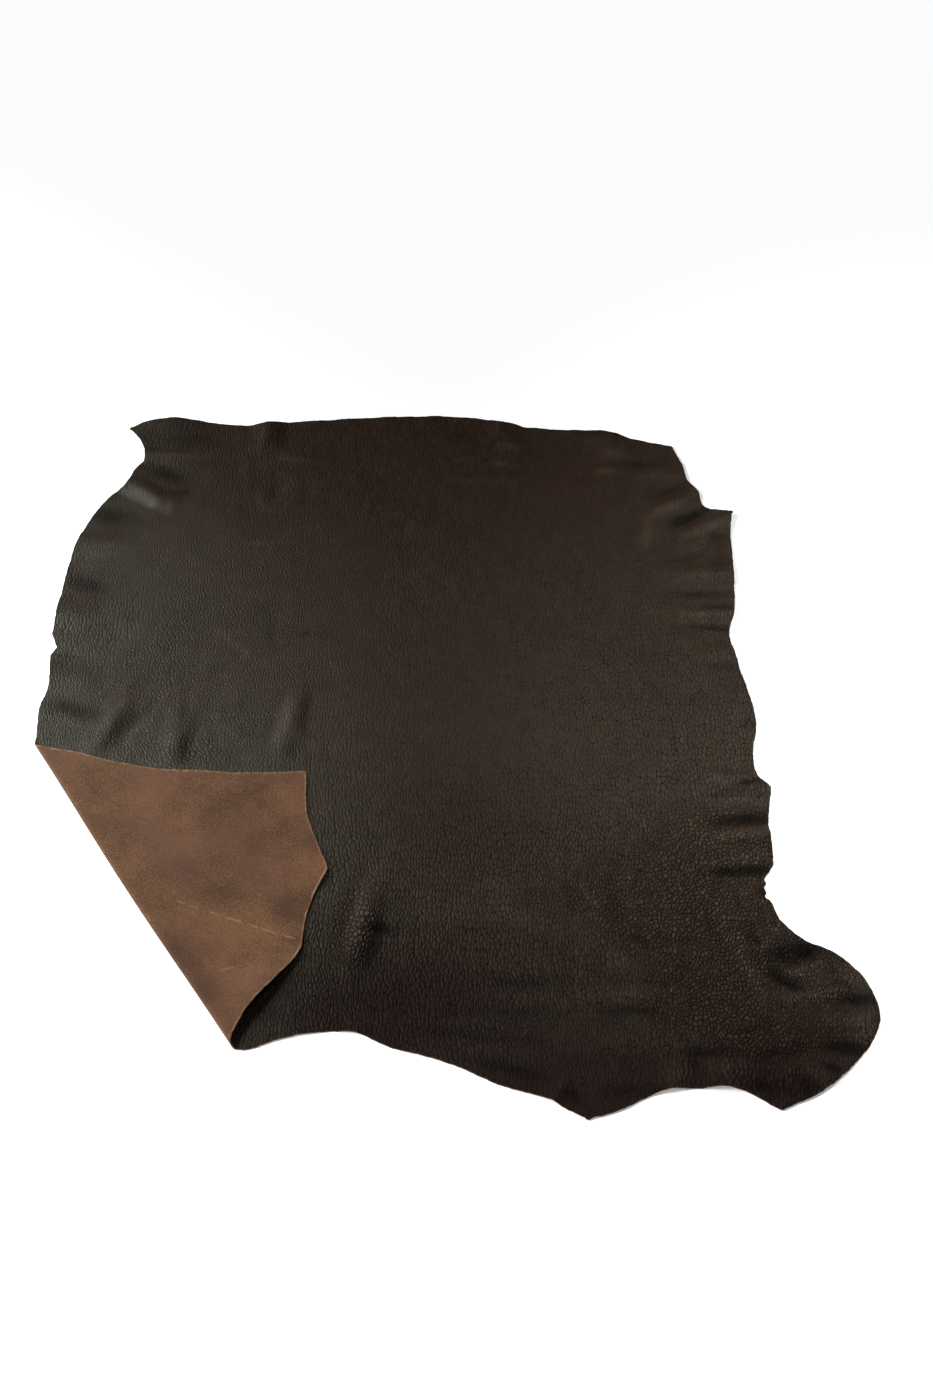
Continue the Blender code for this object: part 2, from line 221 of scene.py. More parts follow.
tailStreaks = [  # the belly and the tail end
    (-70, -262, 76, 158, 32, 0.53), (-64, -262, 60, 11, 9, -0.62), (-48, -185, 76, 74, 18, 0.14),
    (-30, -170, 15, 38, 12, 0.11), (-58, -292, 74, 110, 26, -0.28), (-48, -270, 0, 50, 18, -0.35),
    (60, -273, -2, 182, 12, -0.11), (100, -282, -10, 31, 15, -0.2), (50, -250, 0, 206, 37, 0.07),
    (70, -312, 0, 158, 32, 0.09), (85, -318, 0, 50, 18, 0.1), (90, -331, 0, 134, 21, -0.16),
    (80, -345, 0, 146, 23, 0.12), (185, -343, 2, 134, 23, 0.21), (-40, -360, 0, 62, 18, -0.1),
    (85, -363, 0, 110, 18, -0.16), (190, -362, -3, 101, 15, -0.33), (60, -374, 0, 242, 18, 0.06),
    (30, -388, -7, 146, 18, -0.16), (100, -396, 0, 74, 15, -0.1), (60, -403, -8, 170, 18, 0.06),
    (60, -420, -16, 89, 21, -0.25), (95, -431, -12, 65, 18, -0.22), (118, -446, 62, 34, 12, 0.35),
    (132, -452, -45, 34, 21, -0.38), (150, -424, 0, 98, 35, 0.09), (185, -447, 5, 89, 24, -0.28),
    (228, -428, 90, 62, 40, 0.3), (157, -240, 102, 74, 14, 0.22), (138, -235, 100, 62, 18, -0.14),
    (178, -230, 92, 74, 23, -0.2), (195, -228, 90, 74, 15, 0.14), (122, -200, 105, 74, 12, 0.11),
    (200, -283, -30, 62, 18, -0.2), (182, -308, -40, 50, 23, 0.25), (170, -322, -50, 60, 18, -0.12),
    (245, -284, -8, 46, 14, -0.2), (145, -300, 90, 158, 32, 0.07), (128, -300, 92, 134, 21, -0.06),
    (-75, -380, 90, 31, 15, 0.2),
]
hindStreaks = [  # the right hind leg
    (302, -312, -68, 206, 23, 0.2), (277, -275, -70, 98, 18, -0.09), (312, -272, 60, 38, 18, -0.19),
    (315, -284, 0, 22, 14, -0.25), (335, -275, 40, 31, 18, 0.2), (325, -288, 0, 19, 15, 0.16),
    (350, -298, 12, 89, 35, -0.56), (337, -328, -35, 62, 22, -0.53), (356, -318, 25, 62, 18, 0.35),
    (369, -346, 6, 110, 18, 0.4), (405, -350, -4, 74, 21, -0.53), (342, -358, 4, 74, 12, -0.11),
    (395, -337, -20, 38, 12, -0.22), (402, -326, -70, 50, 21, 0.15), (392, -376, -5, 50, 21, 0.33),
    (385, -385, 0, 50, 11, -0.16), (380, -392, 0, 62, 15, 0.2), (392, -404, -12, 77, 21, -0.56),
    (370, -414, -10, 50, 15, 0.16), (371, -424, -15, 31, 14, -0.45), (356, -428, -50, 50, 23, 0.4),
    (345, -441, -60, 38, 23, -0.38), (312, -443, -15, 77, 26, -0.34), (275, -425, -5, 77, 32, 0.38),
    (330, -425, 0, 41, 21, 0.19), (257, -407, 0, 74, 21, -0.38), (245, -420, -60, 50, 18, -0.28),
    (323, -407, 6, 62, 18, -0.3), (305, -378, 20, 74, 29, -0.09), (330, -395, 60, 26, 15, 0.11),
    (424, -372, 90, 77, 21, -0.25),
]
allStreaks = neckStreaks + leftStreaks + rightStreaks + tailStreaks + hindStreaks

# Where the grain side ripples in bands that run across the skin: x, y, radius across, radius along, height.
bandSpots = [
    (60, -340, 250, 90, 0.24), (-240, 190, 130, 150, 0.14), (0, 440, 320, 60, 0.12), (310, 130, 60, 220, 0.18),
    (330, -350, 90, 80, 0.24), (200, -160, 120, 90, 0.08), (0, 100, 400, 300, 0.03),
]
# Where it ripples in lines drawn along the skin, in the same way.
drawnSpots = [
    (-280, 10, 120, 90, 0.13), (170, -190, 150, 120, 0.1), (-200, 300, 110, 120, 0.06), (300, -60, 80, 110, 0.1),
    (-30, -200, 120, 150, 0.05), (0, 100, 400, 300, 0.025),
]


def easeCurve(value):
    value = np.clip(value, 0.0, 1.0)
    return value * value * (3.0 - 2.0 * value)


def ridgeShape(x, y, centreX, centreY, heading, length, width, height):
    angle = math.radians(heading)
    along = ((x - centreX) * math.cos(angle) + (y - centreY) * math.sin(angle)) / (length / 2)
    across = ((y - centreY) * math.cos(angle) - (x - centreX) * math.sin(angle)) / (width / 2)
    return height * np.clip(1 - along**2, 0, 1) ** 2 * np.clip(1 - across**2, 0, 1) ** 2


def ridgeSum(ridges, x, y):  # crossing ridges blend, so none piles up on another
    return np.sqrt(sum(ridgeShape(x, y, *ridge) ** 2 for ridge in ridges.values()))


def streakSum(x, y):
    return sum(ridgeShape(x, y, *streak) for streak in allStreaks)


spotFade = 1.4  # how fast a spot dies out: at its radius, e to the power of minus this is left


def spotNear(x, y, spotX, spotY, across, along):
    away = ((x - spotX) / across) ** 2 + ((y - spotY) / along) ** 2
    return np.exp(-spotFade * away)


def spotSum(spots, x, y):
    total = np.zeros(len(x))
    for *spot, amount in spots:
        total += amount * spotNear(x, y, *spot)
    return total


waveMaker = np.random.RandomState(hide["seed"])


def makeWaves(count, shortest, longest, heading=90, spread=90):  # lengths, directions and starts of plane waves
    lengths = waveMaker.uniform(shortest, longest, count)
    headings = np.radians(waveMaker.uniform(heading - spread, heading + spread, count))
    starts = waveMaker.uniform(0, 2 * math.pi, count)
    return lengths, headings, starts


def addWaves(waves, x, y):
    total = 0.0
    for length, heading, start in zip(*waves):
        along = x * math.cos(heading) + y * math.sin(heading)
        total = total + np.sin(2 * math.pi * along / length + start)
    return total / math.sqrt(len(waves[0]))


broadWaves = makeWaves(12, 60, 170)
ruffleWaves = makeWaves(8, 20, 52)
leanWaves = makeWaves(9, 130, 320)
bandWaves = makeWaves(16, 15, 36, 90, 15)
drawnWaves = makeWaves(16, 11, 26, 0, 16)


def rippleSum(x, y):
    bands = spotSum(bandSpots, x, y) * addWaves(bandWaves, x, y)
    return bands + spotSum(drawnSpots, x, y) * addWaves(drawnWaves, x, y)


foldTop = np.array(hide["foldTop"])
foldRun = np.array(hide["foldBottom"]) - foldTop
foldLength = float(np.hypot(*foldRun))
foldAlong = foldRun / foldLength
foldOutward = np.array([foldAlong[1], -foldAlong[0]])


def foldShape(along):  # how far out the bend starts, and its radius
    share = np.clip(along / foldLength, 0, 1)
    start = hide["foldBow"] * np.sin(math.pi * share) ** 2
    radius = hide["bendRadiusTop"] + (hide["bendRadiusBottom"] - hide["bendRadiusTop"]) * share
    return start, radius


def toFold(x, y):
    along = (x - foldTop[0]) * foldAlong[0] + (y - foldTop[1]) * foldAlong[1]
    outward = (x - foldTop[0]) * foldOutward[0] + (y - foldTop[1]) * foldOutward[1]
    return along, outward - foldShape(along)[0]


def fromFold(along, past):
    outward = past + foldShape(along)[0]
    x = foldTop[0] + foldAlong[0] * along + foldOutward[0] * outward
    y = foldTop[1] + foldAlong[1] * along + foldOutward[1] * outward
    return x, y


# The part of the plan that the lattices and the table of distances cover.
plot = {"left": -540.0, "right": 440.0, "bottom": -500.0, "top": 500.0}

# How near each place is to the cut edge, read off a coarse table so that the whole sheet can use it.
edgeTable = {"step": 4.0, "columns": 250, "rows": 250}


def makeTree(places):
    tree = kdtree.KDTree(len(places))
    for index, place in enumerate(places):
        tree.insert((place[0], place[1], 0.0), index)
    tree.balance()
    return tree


def fillEdgeTable(edge):
    tree = makeTree(edge)
    gaps = np.zeros((edgeTable["rows"], edgeTable["columns"]))
    for row in range(edgeTable["rows"]):
        y = plot["bottom"] + row * edgeTable["step"]
        for column in range(edgeTable["columns"]):
            x = plot["left"] + column * edgeTable["step"]
            gaps[row, column] = tree.find((x, y, 0.0))[2]
    edgeTable["gaps"] = gaps


def gapToEdge(x, y):
    column = np.clip((x - plot["left"]) / edgeTable["step"], 0, edgeTable["columns"] - 2)
    row = np.clip((y - plot["bottom"]) / edgeTable["step"], 0, edgeTable["rows"] - 2)
    columnBelow = np.floor(column).astype(int)
    rowBelow = np.floor(row).astype(int)
    right = column - columnBelow
    up = row - rowBelow
    gaps = edgeTable["gaps"]
    lower = gaps[rowBelow, columnBelow] * (1 - right) + gaps[rowBelow, columnBelow + 1] * right
    upper = gaps[rowBelow + 1, columnBelow] * (1 - right) + gaps[rowBelow + 1, columnBelow + 1] * right
    return lower * (1 - up) + upper * up


def baseHeight(x, y):  # the middle of the lower layer, level beside the bend
    past = toFold(x, y)[1]
    broad = hide["waveHeight"] * 0.5 * (1 + np.tanh(addWaves(broadWaves, x, y)))
    nearness = np.clip(1 - gapToEdge(x, y) / hide["ruffleWidth"], 0, 1) ** 2
    ruffle = hide["ruffleHeight"] * 0.5 * (1 + np.tanh(addWaves(ruffleWaves, x, y))) * nearness
    lift = ridgeSum(baseRidges, x, y) + broad + ruffle
    return halfThick + lift * easeCurve(-past / hide["calmBesideFold"])


def layDown(x, y):  # where the middle of the sheet at (x, y) of the unfolded skin lies
    along, past = toFold(x, y)
    radius = foldShape(along)[1]
    turn = np.clip(past / radius, 0, math.pi)
    back = np.maximum(past - math.pi * radius, 0)

    flatPlace = np.stack([x, y, baseHeight(x, y)], axis=-1)

    bendX, bendY = fromFold(along, radius * np.sin(turn))
    bendPlace = np.stack([bendX, bendY, halfThick + radius * (1 - np.cos(turn))], axis=-1)

    flapX, flapY = fromFold(along, -back)
    drop = (2 * radius - hide["thickness"] - hide["layerGap"]) * easeCurve(back / hide["flapSettlesIn"])
    own = ridgeSum(flapRidges, flapX, flapY) * easeCurve(back / hide["calmBesideFold"])
    flapZ = baseHeight(flapX, flapY) + 2 * radius - drop + own
    flapPlace = np.stack([flapX, flapY, flapZ], axis=-1)

    isFlat = (past <= 0)[..., None]
    isBend = ((past > 0) & (past < math.pi * radius))[..., None]
    return np.where(isFlat, flatPlace, np.where(isBend, bendPlace, flapPlace))


def sheetFacing(x, y):  # unit normals of the grain side
    reach = hide["probe"]
    acrossX = layDown(x + reach, y) - layDown(x - reach, y)
    acrossY = layDown(x, y + reach) - layDown(x, y - reach)
    normal = np.cross(acrossX, acrossY)
    return normal / np.linalg.norm(normal, axis=-1, keepdims=True)


def handlesAt(points, index):  # the curve's handles, smooth through a point or straight into a corner
    here = Vector(points[index][:2])
    before = Vector(points[index - 1][:2])
    after = Vector(points[(index + 1) % len(points)][:2])
    toBefore = (before - here) / 3
    toAfter = (after - here) / 3
    if "corner" in points[index]:
        return here + toBefore, here + toAfter
    tangent = (after - before).normalized()
    return here - tangent * toBefore.length, here + tangent * toAfter.length


def isNearBend(x, y):
    past = toFold(x, y)[1]
    return (past > -hide["bendBand"]) & (past < math.pi * hide["bendRadiusBottom"] + hide["bendBand"])


def cutEdge():
    fine = []
    for index, point in enumerate(wholeEdge):
        following = (index + 1) % len(wholeEdge)
        start = Vector(point[:2])
        end = Vector(wholeEdge[following][:2])
        leave = handlesAt(wholeEdge, index)[1]
        arrive = handlesAt(wholeEdge, following)[0]
        count = max(4, round((end - start).length / hide["edgeWalk"]))
        walk = interpolate_bezier(start, leave, arrive, end, count + 1)
        fine.extend([(place.x, place.y) for place in walk[:-1]])
    fine = np.array(fine)
    kept = [fine[0]]
    for place in fine[1:]:
        step = hide["edgeStepInBend"] if isNearBend(place[0], place[1]) else hide["edgeStep"]
        if np.hypot(*(place - kept[-1])) >= step:
            kept.append(place)
    if np.hypot(*(kept[-1] - kept[0])) < hide["edgeStep"] / 2:
        kept.pop()
    return np.array(kept)


def edgeOutward(edge):
    run = np.roll(edge, -1, axis=0) - np.roll(edge, 1, axis=0)
    run = run / np.linalg.norm(run, axis=1, keepdims=True)
    return np.stack([-run[:, 1], run[:, 0]], axis=1)  # the edge runs clockwise, so its left is outside


def roughenEdge(edge):  # a knife's small wander, then the nicks
    lengths = np.linalg.norm(np.roll(edge, -1, axis=0) - edge, axis=1)
    travelled = np.concatenate([[0], np.cumsum(lengths)[:-1]])
    whole = lengths.sum()
    wander = np.zeros(len(edge))
    for wavelength in hide["wobbleLengths"]:
        turns = round(whole / wavelength)
        start = waveMaker.uniform(0, 2 * math.pi)
        wander += np.sin(2 * math.pi * turns * travelled / whole + start)
    shift = wander / math.sqrt(len(hide["wobbleLengths"])) * hide["edgeWobble"]
    for x, y, width, depth in edgeNicks:
        away = np.hypot(edge[:, 0] - x, edge[:, 1] - y) / width
        shift -= depth * np.clip(1 - away**2, 0, 1)
    return edge + edgeOutward(edge) * shift[:, None]


def isInside(x, y, edge):  # by how often the edge passes to the right of each place
    inside = np.zeros(len(x), dtype=bool)
    starts = np.roll(edge, 1, axis=0)
    for (startX, startY), (endX, endY) in zip(starts, edge):
        if startY == endY:
            continue
        between = (startY > y) != (endY > y)
        crossing = startX + (y[between] - startY) / (endY - startY) * (endX - startX)
        flips = np.zeros(len(x), dtype=bool)
        flips[between] = crossing > x[between]
        inside ^= flips
    return inside


def latticePoints(step, shift=0.0):  # equal triangles
    rowStep = step * math.sqrt(3) / 2
    rows = np.arange(math.floor(plot["bottom"] / rowStep), math.ceil(plot["top"] / rowStep))
    columns = np.arange(math.floor(plot["left"] / step), math.ceil(plot["right"] / step))
    column, row = np.meshgrid(columns, rows)
    x = (column + 0.5 * (row % 2) + shift) * step
    y = (row + shift / 1.5) * rowStep
    return x.ravel(), y.ravel()


def bendPoints():  # rows round the bend and beside it, where the lattice would be too coarse
    xs = []
    ys = []
    rowCount = hide["bendRows"]
    before, beyond = hide["rowsPastFold"]
    for column in range(-before, math.ceil(foldLength / hide["bendRowStep"]) + beyond):
        along = column * hide["bendRowStep"]
        arc = math.pi * float(foldShape(along)[1])
        pasts = [arc * row / rowCount for row in range(rowCount + 1)]
        pasts += [-gap for gap in hide["besideBend"]] + [arc + gap for gap in hide["besideBend"]]
        for past in pasts:
            x, y = fromFold(along, past)
            xs.append(float(x))
            ys.append(float(y))
    return np.array(xs), np.array(ys)


def triangulate(edge, x, y):  # the lattice, with the bend's own rows in its place there
    away = ~isNearBend(x, y)
    bendX, bendY = bendPoints()
    x = np.concatenate([x[away], bendX])
    y = np.concatenate([y[away], bendY])
    keep = isInside(x, y, edge) & (gapToEdge(x, y) > hide["edgeClear"])
    places = [Vector(place) for place in edge]
    places += [Vector(place) for place in zip(x[keep], y[keep])]
    border = [list(range(len(edge)))]
    points, _, faces, _, _, _ = delaunay_2d_cdt(places, [], border, 1, 1e-4)  # 1 keeps what is inside
    return np.array([point[:] for point in points]), np.array([tuple(face) for face in faces])


def grainSide(edge):  # a finer lattice near the cut, where points between the others are added
    x, y = latticePoints(hide["grainLattice"])
    middleX, middleY = latticePoints(hide["grainLattice"], 0.5)
    close = gapToEdge(middleX, middleY) < hide["nearEdge"]
    return triangulate(edge, np.concatenate([x, middleX[close]]), np.concatenate([y, middleY[close]]))


def fleshSide(edge):  # coarse under the skin, finer on the turned corner, where it shows
    x, y = latticePoints(hide["fleshLattice"])
    onBase = toFold(x, y)[1] < 0
    flapX, flapY = latticePoints(hide["flapLattice"])
    onFlap = toFold(flapX, flapY)[1] > 0
    return triangulate(edge, np.concatenate([x[onBase], flapX[onFlap]]), np.concatenate([y[onBase], flapY[onFlap]]))


def edgeOrder(points, edge):  # which of the triangulated points are the edge's, in order
    tree = makeTree(points)
    return np.array([tree.find((place[0], place[1], 0.0))[1] for place in edge])


def liftGrain(plan):  # where the grain side lies, with its creases
    x, y = plan.T
    calm = easeCurve(-toFold(x, y)[1] / hide["calmBesideFold"])
    creases = (streakSum(x, y) * hide["streakHeight"] + rippleSum(x, y)) * calm
    deepest = hide["creaseDeepest"]
    creases = np.where(creases < 0, deepest * np.tanh(creases / deepest), creases)
    return layDown(x, y) + sheetFacing(x, y) * (halfThick + creases)[:, None]


def liftFlesh(plan):
    x, y = plan.T
    return layDown(x, y) - sheetFacing(x, y) * halfThick


def liftCut(edge):  # two loops round the cut, a little proud of the edges of both sides
    x, y = edge.T
    outX, outY = edgeOutward(edge).T * hide["probe"]
    middle = layDown(x, y)
    outward = layDown(x + outX, y + outY) - middle
    outward /= np.linalg.norm(outward, axis=1, keepdims=True)
    rise = sheetFacing(x, y) * halfThick * hide["bulgeRise"]
    bulge = outward * hide["edgeBulge"]
    return middle + rise + bulge, middle - rise + bulge


def centre(places):  # the box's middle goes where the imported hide's is, and the lowest point onto the floor
    low = places.min(axis=0)
    high = places.max(axis=0)
    for axis in (0, 1):
        places[:, axis] += (cadLow[axis] + cadHigh[axis]) / 2 / mm - (low[axis] + high[axis]) / 2
    places[:, 2] -= low[2]


def addObject(name, data):
    thing = bpy.data.objects.new(name, data)
    bpy.context.scene.collection.objects.link(thing)
    return thing


def makeSkin():
    edge = cutEdge()
    fillEdgeTable(edge)
    edge = roughenEdge(edge)
    grainPlan, grainFaces = grainSide(edge)
    fleshPlan, fleshFaces = fleshSide(edge)
    print("skin cut:", len(edge), "edge points,", len(grainFaces), "grain and", len(fleshFaces), "flesh faces")

    places = np.concatenate([liftGrain(grainPlan), liftFlesh(fleshPlan), *liftCut(edge)])
    plans = np.concatenate([grainPlan, fleshPlan, edge, edge])
    centre(places)

    # The grain side is finish 0, the flesh side 1, and the cut, in three rings of faces, 2.
    faces = [tuple(face) for face in grainFaces]
    faces += [tuple(face[::-1]) for face in fleshFaces + len(grainPlan)]
    finishes = [0] * len(grainFaces) + [1] * len(fleshFaces)
    grainEdge = edgeOrder(grainPlan, edge)
    fleshEdge = edgeOrder(fleshPlan, edge) + len(grainPlan)
    upperEdge = np.arange(len(edge)) + len(grainPlan) + len(fleshPlan)
    lowerEdge = upperEdge + len(edge)
    for first, second in ((grainEdge, upperEdge), (upperEdge, lowerEdge), (lowerEdge, fleshEdge)):
        for index in range(len(edge)):
            following = (index + 1) % len(edge)
            faces.append((first[index], first[following], second[following], second[index]))
            finishes.append(2)

    mesh = bpy.data.meshes.new("leatherHide")
    mesh.from_pydata((places * mm).tolist(), [], [tuple(int(corner) for corner in face) for face in faces])
    mesh.polygons.foreach_set("material_index", finishes)
    mesh.shade_smooth()
    for name, values in surfacePlaces(plans).items():
        mesh.attributes.new(name, "FLOAT_VECTOR", "POINT").data.foreach_set("vector", (values * mm).ravel())
    for name, values in surfaceMarks(plans).items():
        mesh.attributes.new(name, "FLOAT", "POINT").data.foreach_set("value", values)
    mesh.update()
    mesh.set_sharp_from_angle(angle=math.radians(hide["sharpAngle"]))
    return addObject("leatherHide", mesh)


# Where the grain is pebbled rather than drawn into fine wrinkles: x, y, radius across, radius along, how much.
pebbleSpots = [
    (300, -260, 100, 110, 1.0), (340, -360, 100, 90, 1.0), (300, -160, 80, 80, 0.8), (170, -230, 110, 90, 0.6),
    (-72, -262, 36, 70, 1.0), (-300, 10, 140, 110, 0.9), (-180, 60, 130, 130, 0.7), (-320, 250, 130, 130, 0.7),
    (-150, 260, 130, 120, 0.3), (-140, 180, 110, 120, 0.6), (120, -380, 150, 60, 0.5),
]
# Where the pebbles are large and the cracks between them open.
scaleSpots = [
    (-74, -255, 22, 62, 1.1), (-330, -10, 80, 60, 0.45), (-220, -10, 110, 70, 0.45), (322, -356, 66, 46, 0.5),
    (300, -215, 60, 50, 0.45),
]
# How deep the grain is pressed, added to what it is everywhere.
deepSpots = [
    (60, -340, 260, 120, 1.25), (300, -260, 150, 170, 1.1), (-300, 40, 150, 170, -0.02),
    (-340, 300, 120, 120, -0.32), (190, -200, 140, 120, 0.5), (330, -420, 110, 80, 0.8),
    (60, -180, 170, 90, 0.75), (250, 40, 140, 170, 0.65), (60, 380, 320, 120, -0.3),
    (-74, -255, 40, 80, 0.5), (330, -30, 60, 120, 0.2), (-100, -300, 120, 90, 0.35),
]
# Where handling polished the grain, and where it stayed duller (negative): x, y, radius, radius, how much.
polishSpots = [
    (60, -390, 340, 110, 1.0), (380, -370, 110, 120, 0.8), (-30, -230, 150, 110, 0.45),
    (-310, 40, 120, 150, -0.6), (270, -20, 110, 150, -0.6), (150, 60, 120, 120, -0.15),
]
# Where the grain is painted darker, partly dyed darker and partly painted shade towards the bottom edge and around
# the turned corner's lower end:
# x, y, radius across, radius along, how much.
shadeAndDyeSpots = [
    (140, -480, 200, 110, 1.1), (390, -400, 110, 110, 0.45), (-80, -390, 160, 90, 0.8), (300, -450, 120, 70, 0.6),
    (60, -320, 280, 80, 0.6), (10, -110, 150, 130, 0.5), (170, -460, 90, 50, 0.6), (-20, -200, 120, 90, 0.2),
    (0, 70, 120, 120, 0.25),
]
# Light and dark patches on the flesh side, by where the turned corner lies: x, y, radius, radius, tone.
fleshPatches = [
    (-130, -120, 30, 34, 0.7), (-130, -208, 34, 28, 0.8), (-210, -268, 60, 40, 0.8), (-190, -300, 50, 50, 0.7),
    (-144, -249, 15, 15, -1.1), (-250, -298, 13, 18, -0.8), (-232, -322, 13, 20, -0.8), (-214, -346, 13, 18, -0.8),
    (-290, -90, 40, 30, 0.6), (-262, -180, 38, 28, 0.6), (-130, -330, 60, 60, 0.5), (-100, -150, 26, 26, -0.8),
    (-122, -240, 20, 22, -0.9), (-322, -94, 30, 20, -0.6), (-240, -300, 40, 30, -0.6), (-250, -200, 34, 26, -0.7),
    (-215, -232, 30, 26, -0.5), (-130, -190, 90, 130, -0.35), (-350, -90, 80, 60, 0.25), (-205, -140, 46, 46, -0.4),
    (-230, -330, 20, 46, -0.8),
]
# Scratches in the flesh side: from x, y to x, y, half width, how bright.
fleshScratches = [
    (-254, -242, -131, -284, 0.8, 0.6),
    (-187, -318, -207, -325, 0.9, 0.45),
]
# Which way the wrinkles are drawn: x, y, radius across, radius along, and how far they lean to the right.
grainLeans = [
    (-320, 20, 110, 110, 0.28), (-330, 320, 120, 90, 0.2), (250, -200, 110, 120, -0.16), (300, 60, 70, 160, -0.06),
    (-90, -250, 70, 90, 0.18), (270, 330, 80, 70, 0.25), (340, -350, 80, 70, -0.2), (-150, 380, 120, 80, -0.14),
]

# How the tables above count. The grain's pull and the rim are in millimetres.
marks = {
    "grainPull": 6.0,
    "plainDepth": 0.66,
    "mostDepth": 2.4,
    "streakShade": 1.7,
    "streakRange": (-0.72, 0.9),
    "rimHighlightWidth": 10,
}


def onFloor(x, y):
    return np.stack([x, y, np.zeros(len(x))], axis=1)


def drawGrain(x, y):  # the plan, pulled so that the wrinkles lean where the skin was stretched
    shift = marks["grainPull"] * addWaves(leanWaves, x, y)
    for spotX, spotY, across, along, lean in grainLeans:
        shift = shift - lean * (y - spotY) * spotNear(x, y, spotX, spotY, across, along)
    return onFloor(x + shift, y)


def laidPlan(plans):  # where each place of the turned corner comes to lie
    along, past = toFold(plans[:, 0], plans[:, 1])
    back = past - math.pi * foldShape(along)[1]
    return onFloor(*fromFold(along, -back))


def surfacePlaces(plans):
    return {"cutPlace": onFloor(*plans.T), "grainPlace": drawGrain(*plans.T), "laidPlace": laidPlan(plans)}


def surfaceMarks(plans):
    x, y = plans.T
    laidX, laidY, _ = laidPlan(plans).T
    grainShows = toFold(x, y)[1] < 0
    return {
        "pebbleShare": np.clip(spotSum(pebbleSpots, x, y), 0, 1),
        "scaleShare": np.clip(spotSum(scaleSpots, x, y), 0, 1),
        "grainDeep": np.clip(marks["plainDepth"] + spotSum(deepSpots, x, y), 0, marks["mostDepth"]),
        # painted highlights and painted shade along the folds
        "foldLightAndShade": np.clip(marks["streakShade"] * streakSum(x, y), *marks["streakRange"]) * grainShows,
        "polish": np.clip(spotSum(polishSpots, x, y), -1, 1),
        # painted darker: partly dyed, partly painted shade
        "shadeAndDye": np.clip(spotSum(shadeAndDyeSpots, x, y), 0, 1),
        "fleshTone": np.clip(spotSum(fleshPatches, laidX, laidY), -1, 1),
        "edgeNear": np.clip(1 - gapToEdge(x, y) / marks["rimHighlightWidth"], 0, 1),
    }


# The finishes. Sizes, depths and reaches are in millimetres. A Noise row says how many waves in a metre, how much
# detail and how rough, a Warp row the waves and the reach, and a Span row from where to where, and least and most.
grainFinish = {
    # deep is the groove colour, partly dyed and partly painted shade; plum is the colour where the grain is painted
    # darker.
    "deep": (0.003, 0.0016, 0.0012, 1),
    "brown": (0.0157, 0.0066, 0.0039, 1),
    "worn": (0.027, 0.0128, 0.0073, 1),
    "plum": (0.0104, 0.0046, 0.0035, 1),
    "wrinkles": {"size": 3.4, "stretch": 0.44, "ends": 0.34, "line": 0.17, "depth": 0.5},
    "pebbles": {"size": 3.4, "stretch": 0.72, "ends": 0.7, "line": 0.15, "depth": 0.66},
    "scales": {"size": 4.5, "stretch": 0.85, "ends": 0.9, "line": 0.15, "depth": 0.64},
    "sideSpan": (0.25, 0.8),
    "domeEdge": 0.4,
    "patchNoise": (11, 2.0),  # how the kinds of grain run into each other
    "pebbleSpan": (0.25, 0.7),
    "scaleSpan": (0.35, 0.85),
    "bendWarp": (34, 7.0),
    "frayWarp": (150, 3.2),
    "poreNoise": (1300, 3.0, 0.6),
    "poreDepth": 0.02,
    "fadeNoise": (90, 3.0, 0.6),
    "fadeSpan": (0.34, 0.66, 0.65, 1.15),
    "lineDark": 1.35,
    "rubNoise": (9, 4.0, 0.6),
    "rubSpan": (0.4, 0.8, 0.0, 0.35),
    "rubCellSpan": (0.1, 1.0, -0.05, 0.65),
    "mottleStretch": 0.6,
    "mottleNoise": (48, 4.0, 0.6),
    "mottleSpan": (0.3, 0.7, 0.91, 1.09),
    "roughNoise": (60, 3.0),
    "roughSpan": (0.3, 0.7, 0.53, 0.58),
    "roughCellSpan": (0.0, 1.0, -0.008, 0.008),
    "polishDepth": 0.05,
    "specular": 0.27,
    "sheenTint": (0.92, 0.94, 0.7, 1),
    # How much sheen is left in the grooves and where the grain is painted darker: painted shade.
    "lineSheen": 0.15,
    "shadeAndDyeSheen": 0.17,
}
fleshFinish = {
    "dark": (0.044, 0.0184, 0.0091, 1),
    "light": (0.125, 0.057, 0.0244, 1),
    "rosy": (0.096, 0.039, 0.024, 1),
    "scratch": (0.24, 0.13, 0.07, 1),
    "driftWarp": (20, 12.0),
    "cloudNoise": (26, 5.0, 0.62),
    "cloudHeight": 1.5,
    "brushNoise": (150, 4.0, 0.7),
    "brushStretch": 0.3,
    "brushTurn": 34,
    "brushShare": 0.45,
    "brushHeight": 1.2,
    "napNoise": (480, 3.0, 0.75),
    "napShare": 2.5,
    "napDepth": 0.3,
    "toneShare": 0.3,
    "shadeSpan": (0.22, 0.88),
    "blushNoise": (14, 3.0),
    "blushSpan": (0.42, 0.62, 0.0, 0.38),
    "rimHighlightSpan": (0.72, 0.92, 0.0, 0.75),
    "scratchEnd": 8,
    "dashNoise": (70, 3.0),
    "dashSpan": (0.36, 0.54),
    "roughness": 0.95,
    "specular": 0.15,
    "sheen": 0.25,
    "sheenRoughness": 0.5,
    "sheenTint": (0.8, 0.55, 0.42, 1),
}
cutFinish = {
    "dark": (0.06, 0.034, 0.024, 1),
    "light": (0.23, 0.14, 0.092, 1),
    "fibreNoise": (700, 4.0, 0.7),
    "fibreShare": 0.7,
    "fibreDepth": 0.15,
    "patchNoise": (40, 2.0),
    "patchShare": 0.4,
    "shadeSpan": (0.35, 0.75),
    "roughness": 0.9,
    "specular": 0.2,
}


